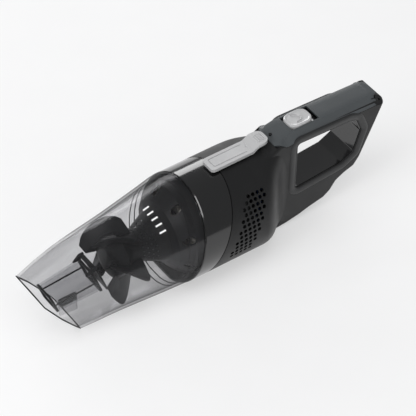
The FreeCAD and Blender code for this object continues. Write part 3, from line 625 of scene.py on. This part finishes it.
def screwShape(tree, given):
    # a round head with a cross cut into it
    head = tree.nodes.new("GeometryNodeMeshCylinder")
    head.inputs["Vertices"].default_value = 24
    tree.links.new(given.outputs["Radius"], head.inputs["Radius"])
    tree.links.new(given.outputs["Depth"], head.inputs["Depth"])
    cut = tree.nodes.new("GeometryNodeMeshBoolean")
    cut.operation = "DIFFERENCE"
    tree.links.new(head.outputs["Mesh"], cut.inputs["Mesh 1"])
    for axes in (("Cross", "Slot", "Depth"), ("Slot", "Cross", "Depth")):
        blade = tree.nodes.new("GeometryNodeMeshCube")
        size = tree.nodes.new("ShaderNodeCombineXYZ")
        for axis, label in zip("XYZ", axes):
            tree.links.new(given.outputs[label], size.inputs[axis])
        tree.links.new(size.outputs["Vector"], blade.inputs["Size"])
        lift = tree.nodes.new("GeometryNodeTransform")
        up = tree.nodes.new("ShaderNodeCombineXYZ")
        half = tree.nodes.new("ShaderNodeMath")
        half.operation = "MULTIPLY"
        half.inputs[1].default_value = 0.6
        tree.links.new(given.outputs["Depth"], half.inputs[0])
        tree.links.new(half.outputs["Value"], up.inputs["Z"])
        tree.links.new(blade.outputs["Mesh"], lift.inputs["Geometry"])
        tree.links.new(up.outputs["Vector"], lift.inputs["Translation"])
        tree.links.new(lift.outputs["Geometry"], cut.inputs["Mesh 2"])
    return cut.outputs["Mesh"]


diskTree = scatterTree("roundSpots", {"Radius": 0.001, "Depth": 0.0004}, diskShape)
barTree = scatterTree("smallBars", {"Length": 0.006, "Width": 0.0008, "Depth": 0.0004}, barShape)
screwTree = scatterTree("crossScrews", {"Radius": 0.0028, "Depth": 0.002, "Cross": 0.0036, "Slot": 0.0007},
                        screwShape)

# swirl blades
swirl = {"count": 5, "frontX": -86.0, "rearX": -44.0, "twist": 64.0, "turn": 102.0, "root": 12.4,
         "thickness": 1.5, "gap": 1.2, "rows": 14, "columns": 9,
         "ductClear": {"x": -69.4, "y": 15.5, "low": -34.0, "high": 15.5}}


def wallReach(angle, x):
    # how far the cup's inner wall is from the barrel's axis, in this direction
    low, high = 5.0, 60.0
    for _ in range(24):
        reach = (low + high) / 2
        y, z = reach * cos(angle), reach * sin(angle)
        height = mix(0, nozzle["middleZ"], min(max(x / nozzle["frontX"], 0), 1.1))
        middle, r = cupRadius(atan2(z - height, y), x)
        inside = Vector((y, z - middle)).length < r - barrel["wall"]
        inside = inside and z > barrel["underside"] + barrel["wall"]
        low, high = (reach, high) if inside else (low, reach)
    return low


def petal(index):
    rows, columns = swirl["rows"], swirl["columns"]
    points = []
    for side in (-0.5, 0.5):
        for i in range(rows):
            s = i / (rows - 1)
            x = mix(swirl["frontX"], swirl["rearX"], s)
            angle = radians(swirl["turn"] + 360 * index / swirl["count"] + swirl["twist"] * (s - 0.5))
            reach = wallReach(angle, x) - swirl["gap"]
            roundness = (1 - abs(2 * s - 1) ** 3.2) ** (1 / 2.2)
            tip = mix(swirl["root"] + 1.5, reach, roundness)
            for j in range(columns):
                r = mix(swirl["root"], tip, j / (columns - 1))
                w = side * swirl["thickness"]
                y, z = r * cos(angle) - w * sin(angle), r * sin(angle) + w * cos(angle)
                # a petal stops where the inlet duct and its swinging flap need room
                clear = swirl["ductClear"]
                behind = abs(y) < clear["y"] and clear["low"] < z < clear["high"]
                points.append((max(x, clear["x"]) if behind else x, y, z))
    return points, slabFaces(rows, columns)


bladePoints, bladeFaces = [], []
for number in range(swirl["count"]):
    points, faces = petal(number)
    start = len(bladePoints)
    bladePoints += points
    bladeFaces += [tuple(start + v for v in f) for f in faces]
blades = newPiece("swirlPetals", bladePoints, bladeFaces, finish["smoke"], "separator", 40)
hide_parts("swirl_blades")
print("swirl blades ready")

# hub, cone, and dark discs painted as the shade inside its perforation holes
hub = {"profile": ((-73.6, 0.4), (-73.6, 9.0), (-73.2, 14.0), (-71.6, 17.4), (-69.0, 18.6), (-60.0, 18.6),
                   (-57.0, 16.6), (-54.0, 14.2), (-50.0, 13.2), (-46.0, 13.2), (-22.0, 24.2), (-21.2, 25.0)),
       "cone": ((-46.0, 13.2), (-22.0, 24.2)), "around": 72, "holeRadius": 0.75, "holeSlope": -0.42,
       "wall": 1.5, "rows": 4, "perRow": 22, "firstX": -43.0, "pitch": 3.6}


def makeHub():
    outer = list(hub["profile"])
    inner = [(x + (hub["wall"] if i < 4 else 0), max(r - hub["wall"], 0.2))
             for i, (x, r) in enumerate(outer)]
    ring = outer + list(reversed(inner))
    count = hub["around"]
    turns = [2 * pi * j / count for j in range(count)]
    points = [(x, r * cos(turn), r * sin(turn)) for x, r in ring for turn in turns]
    return newPiece("separatorHub", points, ringFaces(len(ring), count, closed=True), finish["smokeDark"],
                    "separator", 32)


separatorHub = makeHub()
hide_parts("separator_cone")
# dark discs painted where the cone's holes are, as the shade seen inside them; the rows of holes are real,
# their darkness is painted shade
perforationShadePlaces = []
for row in range(hub["rows"]):
    x = hub["firstX"] + hub["pitch"] * row
    r = along(hub["cone"], x)
    for i in range(hub["perRow"]):
        turn = 2 * pi * (i + 0.5 * (row % 2)) / hub["perRow"]
        perforationShadePlaces.append(((x, r * cos(turn), r * sin(turn)), 
                                  (hub["holeSlope"], cos(turn), sin(turn)), (1, 0, 0)))
perforationShade = scattered("conePerforationShade", diskTree, perforationShadePlaces,
                         {"Radius": hub["holeRadius"], "Depth": 0.3},
                         finish["lens"], "separator")

# inlet duct
duct = {"half": 11.1, "wall": 1.3, "frontX": -135.5, "rearX": -92.5, "frontTop": -2.2, "rearTop": 5.2,
        "bottom": -21.8, "lean": 0.33, "square": 0.22, "around": 48, "earSpan": (8.9, 11.1),
        "footSpan": (-1.1, 1.1),
        "ear": ((-99.5, 3.2), (-93.0, 9.6), (-88.6, 9.6), (-88.6, 6.0), (-92.7, 3.2)),
        "foot": ((-121.0, -39.2), (-103.5, -40.6), (-103.5, -21.0), (-121.0, -21.0))}


def ductPoint(k, y, v):
    # k runs along the duct, y across it and v from its floor to its roof
    topZ = mix(duct["frontTop"], duct["rearTop"], k)
    z = mix(duct["bottom"], topZ, v)
    return (mix(duct["frontX"], duct["rearX"], k) + duct["lean"] * (topZ - z), y, z)


def signedPower(value, power):
    return abs(value) ** power * (1 if value > 0 else -1)


def ductRing(k, inset):
    # a rectangle with rounded corners across the duct
    topZ = mix(duct["frontTop"], duct["rearTop"], k)
    halfY, high = duct["half"] - inset, (topZ - duct["bottom"]) / 2 - inset
    ring = []
    for j in range(duct["around"]):
        t = 2 * pi * (j + 0.5) / duct["around"]
        y, h = halfY * signedPower(cos(t), duct["square"]), high * signedPower(sin(t), duct["square"])
        ring.append(ductPoint(k, y, 0.5 + h / (topZ - duct["bottom"])))
    return ring


def ductTube(name, k0, k1, inset, wall, material, steps=2):
    points = []
    for i in range(steps + 1):
        points += ductRing(mix(k0, k1, i / steps), inset)
    for i in range(steps, -1, -1):
        points += ductRing(mix(k0, k1, i / steps), inset + wall)
    return newPiece(name, points, ringFaces(2 * steps + 2, duct["around"], closed=True), material,
                    "dust_cup", 35)


ductWalls = ductTube("ductWalls", 0.0, 1.0, 0.0, duct["wall"], finish["ductClear"])
frontLip = ductTube("ductFrontLip", 0.0, 0.045, -0.35, duct["wall"] + 0.7, finish["smokeDark"])
rearLip = ductTube("ductRearLip", 0.94, 0.995, -0.9, duct["wall"] + 0.9, finish["smoke"])
for y, v, label in ((-1, 0.5, "Near"), (1, 0.5, "Far")):
    points = []
    for k in (0.0, 1.0):
        for dy, dv in ((0.1, -0.03), (0.8, -0.03), (0.8, 0.03), (0.1, 0.03)):
            points.append(ductPoint(k, y * (duct["half"] + dy - 0.4), v + dv))
    newPiece("ductRib" + label, points, ringFaces(2, 4, caps=True), finish["smokeDark"],
                             "dust_cup")
for side, label in ((-1, "Near"), (1, "Far")):
    prism("ductEar" + label, duct["ear"], [side * y for y in duct["earSpan"]], "y",
                      finish["smoke"], "dust_cup", bevel=0.3)
ductFoot = prism("ductFoot", duct["foot"], duct["footSpan"], "y", finish["ductClear"], "dust_cup", bevel=0.3)
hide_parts("inlet_duct")
print("hub and duct ready")

# level marks on the cup
marks = {"x": -32.0, "turns": (88.0, 79.0, 70.0, 61.0, 52.0), "length": 6.0, "width": 1.5, "depth": 0.12}


def markPlace(degrees, x):
    # a spot on the cup with the way out of it and the way along it
    turn = radians(degrees)
    spots = []
    for step in (-1.0, 0.0, 1.0):
        middle, r = cupRadius(turn, x + step)
        spots.append(Vector((x + step, -r * cos(turn), middle + r * sin(turn))))
    along = (spots[2] - spots[0]).normalized()
    return spots[1], along.cross(Vector((0, -sin(turn), -cos(turn)))), along


levelMarks = scattered("fillLevelMarks", barTree, [markPlace(turn, marks["x"]) for turn in marks["turns"]],
                       {"Length": marks["length"], "Width": marks["width"], "Depth": marks["depth"]},
                       finish["mark"], "dust_cup")

# body shells
panelShape = {"frontX": 94.0, "rearX": 207.2, "flatHalf": 11.8, "edgeHalf": 16.9, "edgeDrop": 7.6,
              "dropFrom": 95.0, "dropTo": 107.0,
              "top": ((94.0, 51.5), (97.0, 53.0), (101.0, 54.6), (106.0, 55.9), (112.0, 56.75), (132.0, 57.0),
                      (166.0, 56.35), (200.0, 55.6), (204.0, 54.5), (207.6, 53.0)),
              "window": ((114.6, -9.35, 40), (143.4, 9.35, 70)),
              "light": ((98.0, 0, 40), (98.0, 0, 70)), "lightRadius": 1.3}


def panelDrop(x):
    # the sloping sides start at nothing where the panel meets the neck
    start, stop = panelShape["dropFrom"], panelShape["dropTo"]
    return panelShape["edgeDrop"] * eased((x - start) / (stop - start))


def shoulderCutter(side):
    # takes off the shell's top corner where the panel's sloping side lies
    flat, edge = panelShape["flatHalf"], panelShape["edgeHalf"] + 3
    points = []
    for x in (95.0, 98.0, 101.0, 104.0, 107.0, 132.0, 166.0, 200.0, 204.0, 214.0):
        z = along(panelShape["top"], x) - 0.5
        steep = panelDrop(x) / (panelShape["edgeHalf"] - flat)
        points += [(x, side * (flat - 1), z + steep), (x, side * edge, z - steep * (edge - flat)),
                   (x, side * edge, z + 12), (x, side * (flat - 1), z + 12)]
    return points, ringFaces(10, 4, caps=True)


for node, side in (("body_shell_right", -1), ("body_shell_left", 1)):
    shell = solidCopy(node)
    points, faces = shoulderCutter(side)
    cutter = newPiece("shoulderCutter", points, faces, finish["body"], None)
    carve(shell, [cutter])
    shell.data.materials.clear()
    shell.data.materials.append(finish["body"])
    smoothed(shell, 28)
    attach(shell, "body")
    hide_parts(node)
print("body shells ready")


# top panel
def makePanel(shape):
    rows = 46
    across = [-1.0, -0.985, -0.7, -0.66, -0.3, 0.0, 0.3, 0.66, 0.7, 0.985, 1.0]
    top, under = [], []
    for i in range(rows):
        x = mix(shape["frontX"], shape["rearX"], i / (rows - 1))
        z = along(shape["top"], x)
        nearEnd = max(0.0, (x - (shape["rearX"] - 8.0)) / 8.0)
        nearFront = max(0.0, (shape["frontX"] + 9.0 - x) / 9.0)
        narrow = 1 - 0.42 * (1 - sqrt(max(0.0, 1 - nearEnd ** 2))) - 0.3 * nearFront ** 2
        edge = shape["edgeHalf"] * narrow
        flat = (shape["flatHalf"] - 1.6 * (x - shape["frontX"]) / 112.0) * narrow
        for k in across:
            outward = (abs(k) - 0.7) / 0.3  # from the flat's edge to the panel's edge
            y = k / 0.7 * flat if abs(k) <= 0.7 else (1 if k > 0 else -1) * mix(flat, edge, outward)
            slope = 0.0 if abs(k) <= 0.66 else (0.12 if abs(k) <= 0.7 else panelDrop(x) * outward)
            lift = 0.25 * (1 - (y / shape["edgeHalf"]) ** 2)
            top.append((x, y, z + lift - slope))
            under.append((x, y * 0.97, z - 1.6 - slope))
    return newPiece("topPanel", top + under, slabFaces(rows, len(across)), finish["panel"], None, 20)


def boxCutter(name, low, high, corner=0.0):
    points = [(x, y, z) for x in (low[0], high[0]) for y in (low[1], high[1]) for z in (low[2], high[2])]
    faces = [(0, 1, 3, 2), (4, 6, 7, 5), (0, 4, 5, 1), (2, 3, 7, 6), (0, 2, 6, 4), (1, 5, 7, 3)]
    cutter = newPiece(name, points, faces, finish["panel"], None)
    if corner:
        edge = cutter.modifiers.new("corners", "BEVEL")
        edge.width = corner * mm
        edge.segments = 6
        applied(cutter)
    return cutter


def rodCutter(name, radius, low, high):
    points = [(low[0] + radius * cos(2 * pi * i / 24), low[1] + radius * sin(2 * pi * i / 24), z)
              for z in (low[2], high[2]) for i in range(24)]
    return newPiece(name, points, ringFaces(2, 24, caps=True), finish["panel"], None)


panel = makePanel(panelShape)
carve(panel, [boxCutter("windowCutter", *panelShape["window"]),
              rodCutter("lightCutter", panelShape["lightRadius"], *panelShape["light"])])
smoothed(panel, 20)
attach(panel, "body")
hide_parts("handle_panel")
print("panel ready")

# slot under the slider
slot = {"outline": ((113.2, -9.8), (144.8, -9.8), (144.8, 9.8), (113.2, 9.8)), "floor": (51.6, 52.8),
        "stem": ((122.6, -2.4, 50), (132.4, 2.4, 55))}
tray = prism("sliderTray", slot["outline"], slot["floor"], "z", finish["liner"], None, bevel=0.2)
applied(tray)
carve(tray, [boxCutter("stemSlotCutter", *slot["stem"])])
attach(tray, "body")

tail = {"stations": ((192.0, 1.0), (204.0, 1.0), (206.6, 0.985), (207.5, 0.95)), "foot": 41.0, "half": 16.7,
        "flat": 11.0}
tailPoints = []
for x, narrow in tail["stations"]:
    ridge = along(panelShape["top"], x) - 0.6
    edge = ridge - panelShape["edgeDrop"]
    half, flat = tail["half"] * narrow, tail["flat"] * narrow
    tailPoints += [(x, -half, tail["foot"]), (x, half, tail["foot"]), (x, half, edge), (x, flat, ridge),
                   (x, -flat, ridge), (x, -half, edge)]
tailPlug = newPiece("tailPlug", tailPoints, ringFaces(len(tail["stations"]), 6, caps=True), finish["liner"],
                    "body", bevel=0.4)

# finger loop
loop = {"outline": ((115.2, 45.6), (113.6, -6.6), (165.0, -2.2), (178.0, 4.4), (185.6, 27.0), (180.0, 41.0),
                    (172.0, 43.6)), "corner": 4.0, "steps": 7,
        "bead": ((-0.2, 15.4), (0.0, 16.5), (1.4, 17.55), (5.4, 17.85), (6.6, 17.5), (7.4, 16.6), (7.2, 15.4))}


def roundedLoop(outline, corner, steps):
    # points round the opening with the way that faces away from it
    result = []
    count = len(outline)
    for i, p in enumerate(outline):
        here = Vector(p)
        last = (Vector(outline[i - 1]) - here).normalized()
        after = (Vector(outline[(i + 1) % count]) - here).normalized()
        half = last.angle(after) / 2
        reach = corner / tan(half)
        centre = here + (last + after).normalized() * corner / sin(half)
        start, stop = here + last * reach, here + after * reach
        a, b = start - centre, stop - centre
        for s in range(steps):
            way = a.lerp(b, s / (steps - 1)).normalized()
            result.append((centre + way * corner, way))
    return result


def bead(side):
    path = roundedLoop(loop["outline"], loop["corner"], loop["steps"])
    profile = loop["bead"]
    points = []
    for place, way in path:
        for out, height in profile:
            spot = place + way * out
            points.append((spot.x, side * height, spot.y))
    return points, ringFaces(len(path), len(profile), closed=True)


for side, label in ((-1, "Right"), (1, "Left")):
    points, faces = bead(side)
    rim = newPiece("loopRim" + label, points, faces, finish["band"], "body", 50, bevel=0.35)

# case screws
screws = {"places": ((114.0, -37.5), (106.0, 38.0), (148.0, -26.0), (192.0, 40.0), (176.0, -8.5)), "y": 14.4,
          "shank": 25.4, "shankMiddle": 0.7}
screwHeads = scattered("crossScrews", screwTree, [((x, screws["y"], z), (0, 1, 0), (1, 0, 0.3))
                                                  for x, z in screws["places"]],
                       {"Radius": 2.75, "Depth": 2.0, "Cross": 3.6, "Slot": 0.75}, finish["steel"], "body")
screwShanks = scattered("screwShanks", diskTree, [((x, screws["shankMiddle"], z), (0, 1, 0), (1, 0, 0))
                                                  for x, z in screws["places"]],
                        {"Radius": 1.6, "Depth": screws["shank"]}, finish["steel"], "body")
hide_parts("case_screws")
print("loop rims and screws ready")

# latch
latch = {"frontX": 31.5, "stepX": 74.0, "padX": 80.5, "rearX": 92.0, "lowZ": 53.0, "highZ": 57.0, "half": 8.5,
         "thick": 3.0, "corner": 3.2, "cutFront": 35.5, "cutRear": 70.0, "cutHalf": 5.6, "cutDepth": 0.6,
         "cutWidth": 1.0, "cutCorner": 1.8, "tailRound": 7.0, "dent": ((71.4, -1.8, 52.4), (73.9, 1.8, 55.0)),
         "lug": ((55.0, 50.5), (57.0, 40.8), (60.0, 39.6), (63.0, 40.8), (65.0, 50.5)), "lugSpan": (-4.0, 4.0),
         "tooth": ((-5.2, 49.2), (5.2, 49.2), (5.2, 50.6), (-5.2, 50.6)), "toothSpan": (32.6, 34.6),
         "ribs": (83.0, 85.2, 87.4, 89.4)}


def latchHalf(x):
    # rounded front corners and a rounded rear end
    d = latch["corner"]
    if x < latch["frontX"] + d:
        back = latch["frontX"] + d - x
        return latch["half"] - d + sqrt(max(d * d - back * back, 0.0))
    tailRound = latch["tailRound"]
    if x > latch["rearX"] - tailRound:
        back = (x - latch["rearX"] + tailRound) / tailRound
        return latch["half"] * (0.35 + 0.65 * sqrt(max(1 - back * back, 0.0)))
    return latch["half"]


def latchTop(x):
    rise = (x - latch["stepX"]) / (latch["padX"] - latch["stepX"])
    return mix(latch["lowZ"], latch["highZ"], min(max(rise, 0), 1))


def makeLatch():
    stations = [31.5, 31.8, 32.6, 33.6, 34.7, 40, 50, 60, 70, 73.6, 74, 74.6, 77, 80, 80.5, 81.1, 85, 87,
                89, 90.5, 91.5, 92.0]
    fractions = [-1, -0.9, -0.5, 0, 0.5, 0.9, 1]
    top, under = [], []
    for x in stations:
        half, z = latchHalf(x), latchTop(x)
        for k in fractions:
            top.append((x, k * half, z))
            under.append((x, k * half, z - latch["thick"]))
    return newPiece("latchPlate", top + under, slabFaces(len(stations), len(fractions)), finish["silver"],
                    None, 25)


def grooveCutter():
    # a shallow U that is open towards the pad
    outer, inner = latch["cutHalf"], latch["cutHalf"] - latch["cutWidth"]
    x0, x1 = latch["cutFront"], latch["cutRear"]
    z0, z1 = latch["lowZ"] - latch["cutDepth"], latch["lowZ"] + 2
    d = latch["cutCorner"]
    outlineOut = [(x1, -outer), (x0 + d, -outer), (x0 + d * 0.3, -outer + d * 0.3), (x0, -outer + d),
                  (x0, outer - d), (x0 + d * 0.3, outer - d * 0.3), (x0 + d, outer), (x1, outer)]
    outlineIn = [(x1, inner), (x0 + d, inner), (x0 + 0.8 + d * 0.2, inner - d * 0.3), (x0 + 0.8, inner - d),
                 (x0 + 0.8, -inner + d), (x0 + 0.8 + d * 0.2, -inner + d * 0.3), (x0 + d, -inner),
                 (x1, -inner)]
    loopPoints = outlineOut + outlineIn
    n = len(loopPoints)
    points = [(x, y, z) for z in (z0, z1) for x, y in loopPoints]
    half = n // 2
    strips = [(i, i + 1, n - 2 - i, n - 1 - i) for i in range(half - 1)]
    faces = strips + [tuple(n + v for v in reversed(f)) for f in strips]
    faces += [(i, (i + 1) % n, n + (i + 1) % n, n + i) for i in range(n)]
    return newPiece("grooveCutter", points, faces, finish["silver"], None)


latchPlate = makeLatch()
carve(latchPlate, [grooveCutter(), boxCutter("dentCutter", *latch["dent"], 0.9)])
smoothed(latchPlate, 25)
softEdges(latchPlate, 0.35, 40)
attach(latchPlate, "latch")
lug = prism("latchLug", latch["lug"], latch["lugSpan"], "y", finish["silver"], "latch", bevel=0.3)
tooth = prism("latchTooth", latch["tooth"], latch["toothSpan"], "x", finish["silver"], "latch", bevel=0.2)
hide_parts("latch_lever")
padRibs = scattered("latchPadRibs", barTree, [((x, 0, latch["highZ"]), (0, 0, 1), (0, 1, 0))
                                              for x in latch["ribs"]],
                    {"Length": 9.5, "Width": 0.9, "Depth": 1.1}, finish["silver"], "latch", bevel=0.2)
print("latch ready")

# power slider
slider = {"x": 127.0, "halfLength": 12.0, "halfWidth": 9.0, "top": 59.4, "foot": 53.6,
          "square": 3.2, "around": 56, "stem": ((123.4, -1.8), (127.4, -1.8), (127.4, 1.8), (123.4, 1.8)),
          "stemSpan": (49.8, 53.8)}


def sliderOutline(shrink):
    # long sides that pull in, and rounded corners
    points = []
    for i in range(slider["around"]):
        t = 2 * pi * (i + 0.5) / slider["around"]
        x = (slider["halfLength"] - shrink) * signedPower(cos(t), 2 / slider["square"])
        y = (slider["halfWidth"] - shrink) * signedPower(sin(t), 2 / slider["square"])
        points.append((slider["x"] + x, y))
    return points


def makeSlider():
    levels = [(0.0, slider["foot"]), (0.0, slider["top"] - 1.3), (0.35, slider["top"] - 0.5),
              (1.1, slider["top"]), (2.0, slider["top"] - 0.15), (2.5, slider["top"] - 0.5),
              (7.0, slider["top"] - 0.55)]
    points = []
    for shrink, z in levels:
        points += [(x, y, z) for x, y in sliderOutline(shrink)]
    return newPiece("powerSliderPad", points, ringFaces(len(levels), slider["around"], caps=True),
                    finish["silver"], "power_slider", 30)


sliderPad = makeSlider()
# the ridge is a U that opens forwards
ridgePath = [(slider["x"] - 3.4 + 6.4 * sin(pi * i / 12), -5.0 * cos(pi * i / 12)) for i in range(13)]
ridgePoints = []
for x, y in ridgePath:
    ridgePoints += [(x - 1.1, y, 58.6), (x - 0.7, y, 60.3), (x + 0.7, y, 60.3), (x + 1.1, y, 58.6)]
sliderRidge = newPiece("powerSliderRidge", ridgePoints, ringFaces(13, 4, caps=True), finish["silver"],
                       "power_slider", 30, bevel=0.25)
sliderStem = prism("powerSliderStem", slider["stem"], slider["stemSpan"], "z", finish["silver"],
                   "power_slider", bevel=0.2)
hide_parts("power_slider")
print("slider ready")

# floor
floorLook = {"colour": (0.42, 0.42, 0.423), "glow": 0.48, "half": 6}
floorFinish = mouldedPlastic("paleFloor", floorLook["colour"], 0.01, (0.75, 0.85), 300.0, 0.00001, 0.02,
                             specular=0.1)
floorShader = floorFinish.node_tree.nodes["Principled BSDF"]
floorShader.inputs["Emission Color"].default_value = (1, 1, 1, 1)
floorShader.inputs["Emission Strength"].default_value = floorLook["glow"]
floorMesh = bpy.data.meshes.new("studioFloor")
reach = floorLook["half"]
floorMesh.from_pydata([(-reach, -reach, 0), (reach, -reach, 0), (reach, reach, 0), (-reach, reach, 0)], [],
                      [(0, 1, 2, 3)])
floorMesh.materials.append(floorFinish)
floor = bpy.data.objects.new("studioFloor", floorMesh)
bpy.context.scene.collection.objects.link(floor)
